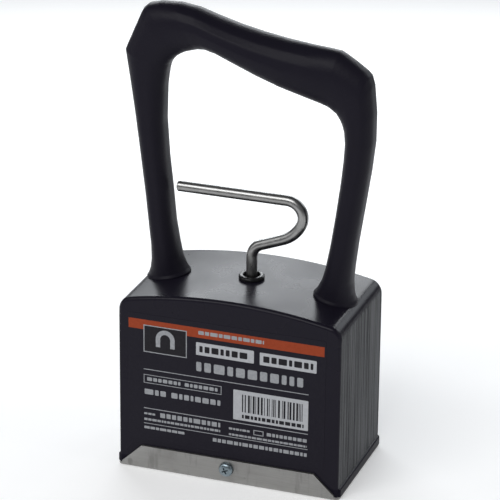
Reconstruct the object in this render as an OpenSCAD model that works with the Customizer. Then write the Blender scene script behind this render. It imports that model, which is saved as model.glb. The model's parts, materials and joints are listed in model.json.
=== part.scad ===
// Hand lifting magnet with a spring-loaded release lever.
// A magnet block rides inside a plastic box, just above a thin stainless base plate that the
// parts cling to. Squeezing the lever towards the grip lifts the block and the parts drop off.
// The origin is the middle of the base plate's underside. +X runs along the long side, towards
// the low end of the grip, -Y is the labelled front and +Z is up.

/* [Housing] */
// Length of the housing along X
body_w = 83.6; // [82:0.2:90]
// Depth of the housing along Y
body_d = 48.3; // [47:0.1:54]
// Height of the roof at the two ends
side_h = 65.5; // [63:0.5:70]
// Rise of the arched roof above its ends
roof_rise = 4.6; // [3:0.1:6]
// Thickness of the side walls
wall_t = 2.6; // [2:0.1:3]
// Thickness of the roof
roof_t = 3; // [2.5:0.1:4]
// Radius of the roof's rounded ends
roof_end_r = 4; // [2:0.5:5]
// Radius of the roof's front and back edges
roof_edge_r = 1.5; // [0.5:0.1:2]
// Radius of the upright corners
corner_r = 1; // [0.5:0.1:2]

/* [Base plate] */
// Thickness of the stainless sheet
plate_t = 1; // [0.8:0.1:1.2]
// Height of the folded flaps
flap_h = 9.2; // [8:0.1:12]
// Length of a flap along its top edge
flap_top_w = 65.6; // [40:0.2:70]
// Height of the base screws above the floor
base_screw_z = 5.6; // [5:0.1:6]

/* [Handle] */
// Distance from the middle to each foot
foot_x = 31.7; // [31.2:0.1:32]
// Radius of a foot
foot_r = 8; // [7.5:0.1:8.2]
// Radius of the bores in the feet that the screws cut into
foot_bore_r = 2.25; // [2:0.05:2.5]
// Squareness of the grip's section, where 1 is an ellipse and less is squarer
section_power = 0.86; // [0.75:0.01:1]

/* [Release lever] */
// Radius of the bent rod
rod_r = 2; // [1.8:0.1:2.1]
// Height where the upright shaft starts to bend
shaft_top = 78.5; // [76:0.5:82]
// Centreline radius of the bend above the shaft
low_bend_r = 5.3; // [4.5:0.1:6]
// Slope of the arm that leaves the low bend, in degrees
arm_angle = 21; // [15:1:25]
// Length of the straight arm
arm_len = 8.8; // [6:0.1:10]
// Centreline radius of the wide bend that lifts the arm
wide_bend_r = 12.5; // [10:0.1:14]
// Slope where the wide bend passes into the tighter return bend, in degrees
wide_bend_end = 65; // [50:1:80]
// Centreline radius of the return bend
u_bend_r = 6.1; // [5.5:0.1:8]
// Length of the straight finger bar
finger_len = 41.1; // [32:0.1:42]
// Upward travel of the lever
lever_travel = 22; // [15:1:24]

/* [Magnet block] */
// Gap between the floor and the pole plates
pole_gap = 1.2; // [1.1:0.1:1.4]
// Length of the yoke along X
yoke_w = 76; // [72:0.5:76.5]
// Depth of the yoke along Y
yoke_d = 40; // [36:0.5:40]
// Thickness of the yoke
yoke_t = 4; // [3:0.5:5]
// Depth of the magnets along Y
magnet_d = 36; // [30:0.5:38]
// Height of the magnets
magnet_h = 14; // [10:0.5:14]
// Thickness of the pole plates
pole_t = 3; // [2:0.5:4]
// Gap between the two magnets
magnet_gap = 13; // [12.5:0.5:16]

/* [Spring] */
// Radius of the spring wire
wire_r = 0.45; // [0.3:0.05:0.5]
// Radius of the spring's centreline
coil_r = 4; // [3.6:0.1:4.4]
// Working turns between the two closed end turns
working_turns = 6; // [4:1:8]

/* [Label] */
// Length of the label film
label_w = 74.4; // [60:0.2:76]
// Height of the label film
label_h = 49.6; // [40:0.2:50]
// Height of the label's lower edge
label_z = 11.4; // [11:0.1:12]

/* [Hidden] */
$fn = 64;

// Room for a cut to pass cleanly through a face
over = 1;
half_w = body_w / 2;
half_d = body_d / 2;
roof_top = side_h + roof_rise;
// The roof is an arc about an axis along Y
roof_r = half_w * half_w / (2 * roof_rise) + roof_rise / 2;
roof_axis_z = roof_top - roof_r;
// Centre of the arcs that round the roof's ends
end_arc_x = half_w - roof_end_r;
end_arc_z = roof_axis_z + sqrt(pow(roof_r - roof_end_r, 2) - pow(end_arc_x, 2));
end_join_x = end_arc_x * roof_r / (roof_r - roof_end_r);

// Bead along the foot of each end wall
lip_out = 0.7;
lip_h = 3.4;
lip_flat_h = 2.5;
lip_end_gap = 1.2;

// Guide ribs on the long walls
rib_out = 1;
rib_w = 2.4;
rib_spare = 3.8;
rib_x = [-30, -14, 14, 30];

// Bosses that the base screws bite into
screw_boss_w = 10;
screw_boss_depth = 6;
screw_boss_top = 10.5;
pilot_r = 1.5;
pilot_depth = 8;

// Pads under the feet and the boss round the guide bush
pad_r = 7;
pad_z = 61;
guide_boss_r = 6.5;
guide_boss_z = 60;
clear_hole_r = 2.7;

// Guide bush
bush_r = 3.5;
bush_fit = 0.05;
bush_flange_r = 4.7;
bush_flange_h = 1.5;
bush_bevel = 0.5;
bush_mouth_r = 3;
bush_mouth_depth = 1.2;
rod_running_gap = 0.05;

// Base plate
bend_r = 1.4;
plate_half_w = half_w + 0.3;
plate_corner = 2.4;
flap_hole_r = 1.8;

// Base screws
base_head_r = 2.65;
base_head_h = 2;
base_dome_r = 4.2;
base_shank_r = 1.45;
base_shank_len = 9;
recess_w = 0.7;
recess_span = 3;
recess_depth = 1;

// Handle screws and washers
handle_washer_r = 5.5;
handle_washer_t = 1;
handle_head_r = 4.4;
handle_head_h = 3;
handle_dome_r = 7;
handle_shank_r = 2.2;
handle_shank_top = 76;
handle_bore_top = 76.6;

// Magnet block, from the pole plates up
pole_top = pole_gap + pole_t;
magnet_top = pole_top + magnet_h;
yoke_top = magnet_top + yoke_t;
// The ribs guide the yoke over the lever's whole travel
rib_top = yoke_top + lever_travel + rib_spare;
magnet_w = (yoke_w - magnet_gap) / 2;
magnet_x = (magnet_gap + magnet_w) / 2;
magnet_edge = 0.8;
yoke_corner = 4;
block_hole_r = 2.15;
magnet_hole_r = 2.6;
csk_head_r = 3.8;
csk_head_h = 2;
block_screw_r = 2;

// Nuts and washers on the rod
nut_flats = 7;
nut_h = 3.2;
nut_chamfer_r = 3.75;
nut_chamfer_slope = 2;
nut_bore_r = 2.05;
washer_r = 4.5;
washer_t = 0.8;
upper_nut_z = yoke_top + washer_t;
lower_nut_z = magnet_top - washer_t - nut_h;
seat_z = upper_nut_z + nut_h;
seat_r = 5.5;
seat_t = 1;
rod_bottom = lower_nut_z - 1.4;
rod_chamfer = 0.4;

// Bends of the rod above its straight shaft
arm_x = low_bend_r * (1 - sin(arm_angle));
arm_z = shaft_top + low_bend_r * cos(arm_angle);
wide_x = arm_x + arm_len * cos(arm_angle) - wide_bend_r * sin(arm_angle);
wide_z = arm_z + arm_len * sin(arm_angle) + wide_bend_r * cos(arm_angle);
u_x = wide_x + (wide_bend_r - u_bend_r) * sin(wide_bend_end);
u_z = wide_z - (wide_bend_r - u_bend_r) * cos(wide_bend_end);
rod_sides = 28;
bend_steps = 14;
root_gap = 0.01;

// Rings of the bent part of the rod: x, z, heading in degrees above +X, and radius.
// The first ring lies inside the shaft.
LEVER_RINGS = concat(
    [[0, shaft_top - 1, 90, rod_r - root_gap]],
    [for (i = [0 : bend_steps])
        let (h = 90 + (arm_angle - 90) * i / bend_steps)
        [low_bend_r * (1 - sin(h)), shaft_top + low_bend_r * cos(h), h, rod_r - (i == 0 ? root_gap : 0)]],
    [for (i = [0 : bend_steps])
        let (h = arm_angle + (wide_bend_end - arm_angle) * i / bend_steps)
        [wide_x + wide_bend_r * sin(h), wide_z - wide_bend_r * cos(h), h, rod_r]],
    [for (i = [1 : bend_steps])
        let (h = wide_bend_end + (180 - wide_bend_end) * i / bend_steps)
        [u_x + u_bend_r * sin(h), u_z - u_bend_r * cos(h), h, rod_r]],
    [[u_x - finger_len + rod_chamfer, u_z + u_bend_r, 180, rod_r]],
    [[u_x - finger_len, u_z + u_bend_r, 180, rod_r - rod_chamfer]]
);

// Spring between the seat and the guide boss
spring_bottom = seat_z + seat_t;
spring_top = guide_boss_z;
end_turn_pitch = 2 * wire_r + 0.12;
working_pitch = (spring_top - spring_bottom - 2 * wire_r - 2 * end_turn_pitch) / working_turns;
spring_steps = 18;
wire_sides = 8;

// Label film
label_t = 0.2;
label_corner_r = 1;
label_mid_x = -0.8;

// Rings of the handle from the left foot to the right foot: x and z of the outer edge,
// x and z of the inner edge, and half the depth at that place
HANDLE_RINGS = [
    [-39.7, 60, -23.7, 60, 8],
    [-39.7, 66.4, -23.7, 69.3, 8],
    [-39.1, 67.4, -24.5, 70.1, 7.5],
    [-38.2, 69.8, -25.6, 71.8, 7.1],
    [-37.6, 73.5, -27, 74.8, 6.8],
    [-37.6, 79, -28.2, 79.8, 6.5],
    [-38.4, 87, -29.6, 87.5, 6.4],
    [-39.7, 99, -30.7, 99.5, 6.3],
    [-41.3, 112, -32.1, 112, 6.3],
    [-43.2, 127, -33, 126, 6.4],
    [-45.1, 140, -32.6, 139, 6.5],
    [-46.5, 148.9, -31.8, 144.8, 6.6],
    [-46.9, 151.6, -31, 147.6, 6.7],
    [-46.1, 153.6, -30, 149.1, 6.7],
    [-43.4, 159.9, -28.2, 150.9, 6.8],
    [-41.1, 165.3, -26.5, 152, 6.9],
    [-40.2, 167.2, -25.5, 152.5, 6.9],
    [-38.7, 168.6, -24.2, 153, 6.9],
    [-34.5, 169.7, -22.2, 153.5, 6.9],
    [-27.5, 170, -20, 154.1, 7],
    [-21, 169.1, -17, 154.2, 7.5],
    [-14, 166.9, -12.8, 153.2, 8],
    [-6, 164.7, -6.4, 150.5, 8.2],
    [3, 162.8, 1.5, 147.2, 8.3],
    [12, 161.4, 10.5, 143.9, 8.2],
    [21, 160.4, 19.5, 141.3, 7.8],
    [28.5, 159.7, 25.6, 139.7, 7.2],
    [31.6, 159.2, 28, 139, 7],
    [33.4, 158.2, 29.3, 138.3, 6.9],
    [37.2, 155.8, 31.2, 137, 6.8],
    [41.2, 152.9, 32.7, 135, 6.7],
    [42.6, 151.4, 33.5, 133.4, 6.7],
    [43.6, 148, 34.2, 131, 6.6],
    [44.6, 138, 34.6, 126.5, 6.5],
    [44.6, 127.5, 34.2, 120, 6.4],
    [43.4, 116.5, 33.4, 112, 6.3],
    [41.2, 101.5, 31.8, 99.5, 6.3],
    [39.3, 89, 30.1, 88, 6.4],
    [38.2, 79.5, 28.5, 79.5, 6.6],
    [37.9, 74, 27.2, 75, 6.9],
    [38.4, 69.8, 25.6, 71.8, 7.2],
    [39.1, 67.4, 24.5, 70.1, 7.5],
    [39.7, 66.4, 23.7, 69.3, 8],
    [39.7, 60, 23.7, 60, 8]
];
ring_steps = 2;
ring_sides = 28;

// Value of a smooth curve through four neighbouring values, at t from b to c
function through(a, b, c, d, t) =
    b + (c - a) * t / 2 + (a - 2.5 * b + 2 * c - d / 2) * t * t
    + (1.5 * (b - c) + (d - a) / 2) * t * t * t;

// Ring s of the handle, where whole steps are the listed rings
function handle_ring(s) =
    let (
        last = len(HANDLE_RINGS) - 1,
        i = min(floor(s), last - 1),
        a = HANDLE_RINGS[max(i - 1, 0)],
        b = HANDLE_RINGS[i],
        c = HANDLE_RINGS[i + 1],
        d = HANDLE_RINGS[min(i + 2, last)]
    )
    through(a, b, c, d, s - i);

// Power that keeps the sign
function signed_power(v, p) = sign(v) * pow(abs(v), p);

// Point of a handle ring at angle q, where 0 is the outer edge
function ring_point(ring, q) =
    let (
        across = signed_power(cos(q), section_power) / 2,
        depth = signed_power(sin(q), section_power) * ring[4]
    )
    [
        (ring[0] + ring[2]) / 2 + (ring[0] - ring[2]) * across,
        depth,
        (ring[1] + ring[3]) / 2 + (ring[1] - ring[3]) * across
    ];

// Point of a lever ring at angle q
function lever_point(ring, q) = [
    ring[0] - ring[3] * cos(q) * sin(ring[2]),
    -ring[3] * sin(q),
    ring[1] + ring[3] * cos(q) * cos(ring[2])
];

// Triangles of a tube of rings with the given number of sides, closed at both ends
function tube_faces(rings, sides) = concat(
    [for (i = [0 : rings - 2], j = [0 : sides - 1])
        [i * sides + j, (i + 1) * sides + j, (i + 1) * sides + (j + 1) % sides]],
    [for (i = [0 : rings - 2], j = [0 : sides - 1])
        [i * sides + j, (i + 1) * sides + (j + 1) % sides, i * sides + (j + 1) % sides]],
    [[for (j = [0 : sides - 1]) j]],
    [[for (j = [0 : sides - 1]) rings * sides - 1 - j]]
);

// Height of the spring's centreline after a number of turns
function spring_z(turns) =
    let (
        start = spring_bottom + wire_r,
        end_turn = min(turns, 1) + max(turns - working_turns - 1, 0),
        working = min(max(turns - 1, 0), working_turns)
    )
    start + end_turn * end_turn_pitch + working * working_pitch;

// Box centred on X and Y that stands on height z
module centred_block(size, z) {
    translate([-size.x / 2, -size.y / 2, z])
        cube(size);
}

// Upright prism of w by d with round corners
module round_block(w, d, h, r) {
    centred_block([w - 2 * r, d, h], 0);
    centred_block([w, d - 2 * r, h], 0);
    for (x = [-1, 1], y = [-1, 1])
        translate([x * (w / 2 - r), y * (d / 2 - r), 0])
            cylinder(r = r, h = h);
}

// Drum about the roof's axis, with its two rims rounded
module roof_drum(r, width, edge) {
    translate([0, 0, roof_axis_z])
        rotate([90, 0, 0])
            rotate_extrude($fn = 128) {
                translate([0, -width / 2 + edge])
                    square([r, width - 2 * edge]);
                translate([0, -width / 2])
                    square([r - edge, width]);
                for (side = [-1, 1])
                    translate([r - edge, side * (width / 2 - edge)])
                        circle(r = edge);
            }
}

// Housing's outline seen from the front, with its rounded roof ends but no arch
module end_rounded_slab() {
    rotate([90, 0, 0])
        linear_extrude(body_d + 2 * over, center = true) {
            translate([-half_w, 0])
                square([body_w, end_arc_z]);
            translate([-end_join_x, 0])
                square([2 * end_join_x, roof_top + over]);
            for (side = [-1, 1])
                translate([side * end_arc_x, end_arc_z])
                    circle(r = roof_end_r);
        }
}

module housing_outside() {
    intersection() {
        translate([0, 0, plate_t])
            round_block(body_w, body_d, roof_top, corner_r);
        roof_drum(roof_r, body_d, roof_edge_r);
        end_rounded_slab();
    }
}

// Inside of the box, up to the arched ceiling
module housing_inside() {
    intersection() {
        centred_block([body_w - 2 * wall_t, body_d - 2 * wall_t, roof_top], plate_t - over);
        translate([0, 0, roof_axis_z])
            rotate([90, 0, 0])
                cylinder(r = roof_r - roof_t, h = body_d, center = true, $fn = 128);
    }
}

// Bead along the foot of the end wall on one side
module end_lip(side) {
    lip_len = body_d - 2 * lip_end_gap;
    mirror([side < 0 ? 1 : 0, 0, 0])
        translate([half_w - over, lip_len / 2, plate_t])
            rotate([90, 0, 0])
                linear_extrude(lip_len)
                    polygon([
                        [0, 0],
                        [over + lip_out, 0],
                        [over + lip_out, lip_flat_h],
                        [over, lip_h],
                        [0, lip_h]
                    ]);
}

// Ribs, bosses and pads that stand inside the box
module housing_details() {
    ceiling_overlap = 4;
    screw_boss_y = half_d - wall_t - screw_boss_depth / 2;
    for (x = rib_x, side = [-1, 1])
        translate([x - rib_w / 2, side * (half_d - wall_t) - rib_out, plate_t])
            cube([rib_w, 2 * rib_out, rib_top]);
    for (side = [-1, 1])
        translate([-screw_boss_w / 2, side * screw_boss_y - screw_boss_depth / 2, plate_t])
            cube([screw_boss_w, screw_boss_depth + (side > 0 ? over : 0), screw_boss_top - plate_t]);
    for (side = [-1, 1])
        translate([side * foot_x, 0, pad_z])
            cylinder(r = pad_r, h = ceiling_overlap);
    translate([0, 0, guide_boss_z])
        cylinder(r = guide_boss_r, h = roof_top - roof_t / 2 - guide_boss_z);
}

// Cross recess cut into a screw head whose top is at the origin, facing +Z
module cross_recess(span, width, depth) {
    for (turn = [0, 90])
        rotate(turn)
            translate([-span / 2, -width / 2, -depth])
                cube([span, width, depth + over]);
}

// Pan head screw with its head's underside at the origin, its shank along -Z
module pan_screw(head_r, head_h, dome_r, shank_r, shank_len, tip_h) {
    difference() {
        intersection() {
            cylinder(r = head_r, h = head_h);
            translate([0, 0, head_h - dome_r])
                sphere(r = dome_r);
        }
        translate([0, 0, head_h])
            cross_recess(recess_span * head_r / base_head_r, recess_w, recess_depth);
    }
    translate([0, 0, -shank_len + tip_h])
        cylinder(r = shank_r, h = shank_len - tip_h + recess_depth / 2);
    translate([0, 0, -shank_len])
        cylinder(r1 = shank_r / 3, r2 = shank_r, h = tip_h);
}

// Flat ring of thickness t that stands on height z
module washer(r, bore, t, z) {
    translate([0, 0, z])
        difference() {
            cylinder(r = r, h = t);
            translate([0, 0, -over])
                cylinder(r = bore, h = t + 2 * over);
        }
}

// Hexagon nut that stands on height z
module rod_nut(z) {
    cone_h = nut_chamfer_slope * nut_chamfer_r;
    cone_top_r = nut_chamfer_r + nut_h / 2 / nut_chamfer_slope;
    translate([0, 0, z])
        difference() {
            intersection() {
                cylinder(d = nut_flats / cos(30), h = nut_h, $fn = 6);
                translate([0, 0, nut_h / 2 - cone_h])
                    cylinder(r1 = 0, r2 = cone_top_r, h = cone_h + nut_h / 2);
            }
            translate([0, 0, -over])
                cylinder(r = nut_bore_r, h = nut_h + 2 * over);
        }
}

module housing() {
    color([0.13, 0.125, 0.15])
        difference() {
            union() {
                difference() {
                    housing_outside();
                    housing_inside();
                }
                end_lip(-1);
                end_lip(1);
                housing_details();
            }
            for (side = [-1, 1])
                translate([side * foot_x, 0, pad_z - over])
                    cylinder(r = clear_hole_r, h = roof_top);
            translate([0, 0, guide_boss_z - over])
                cylinder(r = bush_r + bush_fit, h = roof_top);
            for (side = [-1, 1])
                translate([0, side * (half_d + over), base_screw_z])
                    rotate([side * 90, 0, 0])
                        cylinder(r = pilot_r, h = pilot_depth + over);
        }
}

module handle() {
    rings = ring_steps * (len(HANDLE_RINGS) - 1) + 1;
    points = [
        for (i = [0 : rings - 1], j = [0 : ring_sides - 1])
            ring_point(handle_ring(i / ring_steps), j * 360 / ring_sides)
    ];
    color([0.1, 0.1, 0.12])
        difference() {
            polyhedron(points, tube_faces(rings, ring_sides));
            translate([0, 0, roof_axis_z])
                rotate([90, 0, 0])
                    cylinder(r = roof_r, h = 3 * foot_r, center = true, $fn = 128);
            for (side = [-1, 1])
                translate([side * foot_x, 0, pad_z])
                    cylinder(r = foot_bore_r, h = handle_bore_top - pad_z);
        }
}

// Screw up through the roof into one foot of the handle
module handle_screw(side) {
    shank_len = handle_shank_top - pad_z + handle_washer_t;
    color([0.72, 0.72, 0.7])
        translate([side * foot_x, 0, pad_z - handle_washer_t])
            mirror([0, 0, 1])
                pan_screw(handle_head_r, handle_head_h, handle_dome_r, handle_shank_r, shank_len, 2);
}

module handle_washer(side) {
    color([0.75, 0.75, 0.73])
        translate([side * foot_x, 0, 0])
            washer(handle_washer_r, clear_hole_r, handle_washer_t, pad_z - handle_washer_t);
}

// Flanged bush in the roof that the rod slides through
module guide_bush() {
    color([0.07, 0.07, 0.08])
        difference() {
            union() {
                translate([0, 0, guide_boss_z + over / 2])
                    cylinder(r = bush_r, h = roof_top - guide_boss_z);
                translate([0, 0, roof_top + 0.02])
                    cylinder(r = bush_flange_r, h = bush_flange_h - bush_bevel);
                translate([0, 0, roof_top + bush_flange_h - bush_bevel])
                    cylinder(r1 = bush_flange_r, r2 = bush_flange_r - bush_bevel, h = bush_bevel);
            }
            translate([0, 0, guide_boss_z])
                cylinder(r = rod_r + rod_running_gap, h = roof_top);
            translate([0, 0, roof_top + bush_flange_h - bush_mouth_depth])
                cylinder(r = bush_mouth_r, h = bush_mouth_depth + over);
        }
}

// Stainless channel under the box, with a flap folded up at the front and the back
module base_plate() {
    outer_half_d = half_d + plate_t;
    channel_cut_w = 2 * plate_half_w + 2 * over;
    color([0.62, 0.61, 0.59])
        difference() {
            rotate([90, 0, 90])
                linear_extrude(2 * plate_half_w, center = true)
                    difference() {
                        union() {
                            translate([-outer_half_d, bend_r])
                                square([2 * outer_half_d, flap_h - bend_r]);
                            translate([-outer_half_d + bend_r, 0])
                                square([2 * (outer_half_d - bend_r), bend_r]);
                            for (side = [-1, 1])
                                translate([side * (outer_half_d - bend_r), bend_r])
                                    circle(r = bend_r);
                        }
                        translate([-half_d, plate_t])
                            square([body_d, flap_h]);
                    }
            for (side = [0, 1])
                mirror([side, 0, 0])
                    rotate([90, 0, 0])
                        linear_extrude(channel_cut_w, center = true)
                            polygon([
                                [plate_half_w + over, plate_t * 0.6],
                                [plate_half_w - over / 4, plate_t * 0.6],
                                [flap_top_w / 2, flap_h],
                                [flap_top_w / 2, flap_h + over],
                                [plate_half_w + over, flap_h + over]
                            ]);
            for (x = [0, 1], y = [0, 1])
                mirror([x, 0, 0])
                    mirror([0, y, 0])
                        translate([plate_half_w, outer_half_d, 0])
                            rotate(45)
                                centred_block([plate_corner, 2 * plate_corner, 4 * plate_t], -plate_t);
            translate([0, 0, base_screw_z])
                rotate([90, 0, 0])
                    cylinder(r = flap_hole_r, h = body_d + 4 * plate_t, center = true);
        }
}

// Screw that holds one flap, -1 at the front and 1 at the back
module base_screw(side) {
    color([0.6, 0.66, 0.7])
        translate([0, side * (half_d + plate_t), base_screw_z])
            rotate([-side * 90, 0, 0])
                pan_screw(base_head_r, base_head_h, base_dome_r, base_shank_r, base_shank_len - plate_t, 1.5);
}

// Printed film on the front of the box
module front_label() {
    color([0.2, 0.19, 0.22])
        translate([label_mid_x, -half_d, label_z + label_h / 2])
            rotate([90, 0, 0])
                round_block(label_w, label_h, label_t, label_corner_r);
}

// Compression spring between the seat on the rod and the guide boss
module return_spring() {
    turns = working_turns + 2;
    rings = turns * spring_steps + 1;
    points = [
        for (i = [0 : rings - 1], j = [0 : wire_sides - 1])
            let (
                turn = i / spring_steps,
                out = coil_r + wire_r * cos(j * 360 / wire_sides)
            )
            [
                out * cos(turn * 360),
                out * sin(turn * 360),
                spring_z(turn) + wire_r * sin(j * 360 / wire_sides)
            ]
    ];
    color([0.6, 0.6, 0.58])
        polyhedron(points, tube_faces(rings, wire_sides));
}

// Bent rod: a shaft, a sloping arm and a finger bar that returns over the shaft
module release_lever() {
    rings = len(LEVER_RINGS);
    points = [
        for (ring = LEVER_RINGS, j = [0 : rod_sides - 1])
            lever_point(ring, j * 360 / rod_sides)
    ];
    color([0.68, 0.68, 0.67]) {
        translate([0, 0, rod_bottom + rod_chamfer])
            cylinder(r = rod_r, h = shaft_top - rod_bottom - rod_chamfer);
        translate([0, 0, rod_bottom])
            cylinder(r1 = rod_r - rod_chamfer, r2 = rod_r, h = rod_chamfer);
        polyhedron(points, tube_faces(rings, rod_sides));
    }
}

module rod_nut_upper() {
    color([0.66, 0.67, 0.66])
        rod_nut(upper_nut_z);
}

module rod_nut_lower() {
    color([0.66, 0.67, 0.66])
        rod_nut(lower_nut_z);
}

module rod_washer_upper() {
    color([0.7, 0.7, 0.68])
        washer(washer_r, block_hole_r, washer_t, yoke_top);
}

module rod_washer_lower() {
    color([0.7, 0.7, 0.68])
        washer(washer_r, block_hole_r, washer_t, magnet_top - washer_t);
}

// Collar on the upper nut that the spring pushes down on
module spring_seat() {
    color([0.7, 0.7, 0.68])
        washer(seat_r, block_hole_r, seat_t, seat_z);
}

// Steel plate that carries both magnets and hangs on the rod
module yoke_plate() {
    color([0.45, 0.46, 0.48])
        difference() {
            centred_block([yoke_w, yoke_d, yoke_t], magnet_top);
            for (x = [-1, 1], y = [-1, 1])
                translate([x * yoke_w / 2, y * yoke_d / 2, 0])
                    rotate(x * y * 45)
                        centred_block([yoke_corner, 2 * yoke_corner, yoke_top], magnet_top - over);
            for (x = [-magnet_x, 0, magnet_x])
                translate([x, 0, magnet_top - over])
                    cylinder(r = block_hole_r, h = yoke_t + 2 * over);
        }
}

// Ferrite block on one side of the rod
module magnet(side) {
    color([0.2, 0.2, 0.21])
        translate([side * magnet_x, 0, pole_top])
            difference() {
                round_block(magnet_w, magnet_d, magnet_h, magnet_edge);
                translate([0, 0, -over])
                    cylinder(r = magnet_hole_r, h = magnet_h + 2 * over);
            }
}

// Steel face plate under one magnet, countersunk for its screw
module pole_plate(side) {
    color([0.5, 0.51, 0.53])
        translate([side * magnet_x, 0, pole_gap])
            difference() {
                round_block(magnet_w, magnet_d, pole_t, magnet_edge);
                translate([0, 0, -over])
                    cylinder(r = block_hole_r, h = pole_t + 2 * over);
                cylinder(r1 = csk_head_r + bush_fit, r2 = block_screw_r + bush_fit, h = csk_head_h);
                translate([0, 0, -over])
                    cylinder(r = csk_head_r + bush_fit, h = over + 0.01);
            }
}

// Countersunk screw through a pole plate and its magnet into the yoke
module magnet_screw(side) {
    driver_span = 4;
    color([0.7, 0.68, 0.6])
        translate([side * magnet_x, 0, pole_gap])
            difference() {
                union() {
                    cylinder(r1 = csk_head_r, r2 = block_screw_r, h = csk_head_h);
                    translate([0, 0, csk_head_h / 2])
                        cylinder(r = block_screw_r, h = yoke_top - pole_gap - csk_head_h / 2);
                }
                mirror([0, 0, 1])
                    cross_recess(driver_span, recess_w, recess_depth);
            }
}

housing();
handle();
handle_screw(-1);  // handle_screw_left
handle_screw(1);  // handle_screw_right
handle_washer(-1);  // handle_washer_left
handle_washer(1);  // handle_washer_right
guide_bush();
base_plate();
base_screw(-1);  // base_screw_front
base_screw(1);  // base_screw_rear
front_label();
return_spring();
release_lever();
rod_nut_upper();
rod_nut_lower();
rod_washer_upper();
rod_washer_lower();
spring_seat();
yoke_plate();
magnet(-1);  // magnet_left
magnet(1);  // magnet_right
pole_plate(-1);  // pole_plate_left
pole_plate(1);  // pole_plate_right
magnet_screw(-1);  // magnet_screw_left
magnet_screw(1);  // magnet_screw_right
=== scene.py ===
import json
import math
import random

import bmesh
import bpy
from mathutils import Matrix, Vector


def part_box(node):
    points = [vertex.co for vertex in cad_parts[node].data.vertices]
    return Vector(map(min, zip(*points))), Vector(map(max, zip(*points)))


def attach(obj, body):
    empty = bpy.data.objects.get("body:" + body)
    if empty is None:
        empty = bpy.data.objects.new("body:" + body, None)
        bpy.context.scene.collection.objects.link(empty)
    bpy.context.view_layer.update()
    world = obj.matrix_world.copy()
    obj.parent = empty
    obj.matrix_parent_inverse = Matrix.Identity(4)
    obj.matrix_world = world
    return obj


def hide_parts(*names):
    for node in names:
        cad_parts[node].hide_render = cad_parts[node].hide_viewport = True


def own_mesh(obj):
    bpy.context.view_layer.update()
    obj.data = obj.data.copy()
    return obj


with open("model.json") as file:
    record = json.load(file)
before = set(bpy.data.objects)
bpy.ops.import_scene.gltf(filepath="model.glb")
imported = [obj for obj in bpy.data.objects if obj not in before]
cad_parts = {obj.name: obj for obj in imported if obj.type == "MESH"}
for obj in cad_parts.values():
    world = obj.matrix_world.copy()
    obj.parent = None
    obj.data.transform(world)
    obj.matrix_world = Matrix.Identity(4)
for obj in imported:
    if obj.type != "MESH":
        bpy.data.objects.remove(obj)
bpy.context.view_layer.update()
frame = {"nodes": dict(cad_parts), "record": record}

MM = 0.001

# Places of the CAD parts, which every new piece is worked out from
HOUSING_LOW, HOUSING_HIGH = (Vector(corner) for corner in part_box("housing"))
PLATE_HIGH = Vector(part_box("base_plate")[1])
LABEL_LOW, LABEL_HIGH = (Vector(corner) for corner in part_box("front_label"))
LEVER_LOW = Vector(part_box("release_lever")[0])
SPRING_LOW, SPRING_HIGH = (Vector(corner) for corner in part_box("return_spring"))
BUSH_LOW, BUSH_HIGH = (Vector(corner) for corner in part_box("guide_bush"))

# The box: the lips stand proud of its end walls
LIP_OUT = 0.7 * MM
LIP_H = 3.2 * MM
LIP_SHORT = 0.7 * MM
LIP_ROUND = 0.66 * MM
HALF_W = HOUSING_HIGH.x - LIP_OUT
HALF_D = HOUSING_HIGH.y
PLATE_T = HOUSING_LOW.z
ROOF_TOP = HOUSING_HIGH.z
ROOF_RISE = 4.6 * MM
ROOF_SIDE = ROOF_TOP - ROOF_RISE
WALL = 2.6 * MM
ROOF_END_R = 4 * MM
ROOF_EDGE_R = 1.5 * MM
ROOF_RADIUS = HALF_W**2 / (2 * ROOF_RISE) + ROOF_RISE / 2

ROOF_T = 3 * MM
CEILING = ROOF_SIDE - ROOF_T
ROOF_CUTS = 47
# How much less the box's upright corners are rounded than the roof's front and back edges
CORNER_EASE = 0.45

# Inside the box: pads for the handle's screws, ribs, and a boss for each flap screw and for the rod
FOOT_X = 31.7 * MM
PAD_Z = 61 * MM
PAD_T = 4 * MM
PAD_R = 7 * MM
PAD_BORE_R = 2.7 * MM
RIB_PLACES = (-30 * MM, -14 * MM, 14 * MM, 30 * MM)
RIB_HALF_T = 1.2 * MM
RIB_DEPTH = 1 * MM
RIB_TOP = 49 * MM
SCREW_Z = 5.6 * MM
SCREW_BOSS_HALF_W = 5 * MM
SCREW_BOSS_DEPTH = 6 * MM
SCREW_BOSS_TOP = 10.5 * MM
SCREW_BORE_DEPTH = 8 * MM
HOUSING_SCREW_BORE_R = 1.5 * MM
PLATE_SCREW_BORE_R = 1.8 * MM
ROD_BOSS_R = 6.5 * MM
ROD_BORE_R = 3.55 * MM

# How far a piece that is joined on or cut away reaches past the face that it meets
OVERLAP = 1 * MM

ROD_R = 2 * MM


# ---------------------------------------------------------------- camera, light and floor

# The point that every light is turned towards
LIGHTS_AIM = (0, 0, 80 * MM)


def aim(location, target):
    """Place and turning of a light that looks from one point at another."""
    facing = (Vector(target) - Vector(location)).to_track_quat("-Z", "Y").to_matrix().to_4x4()
    return Matrix.Translation(location) @ facing


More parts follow.
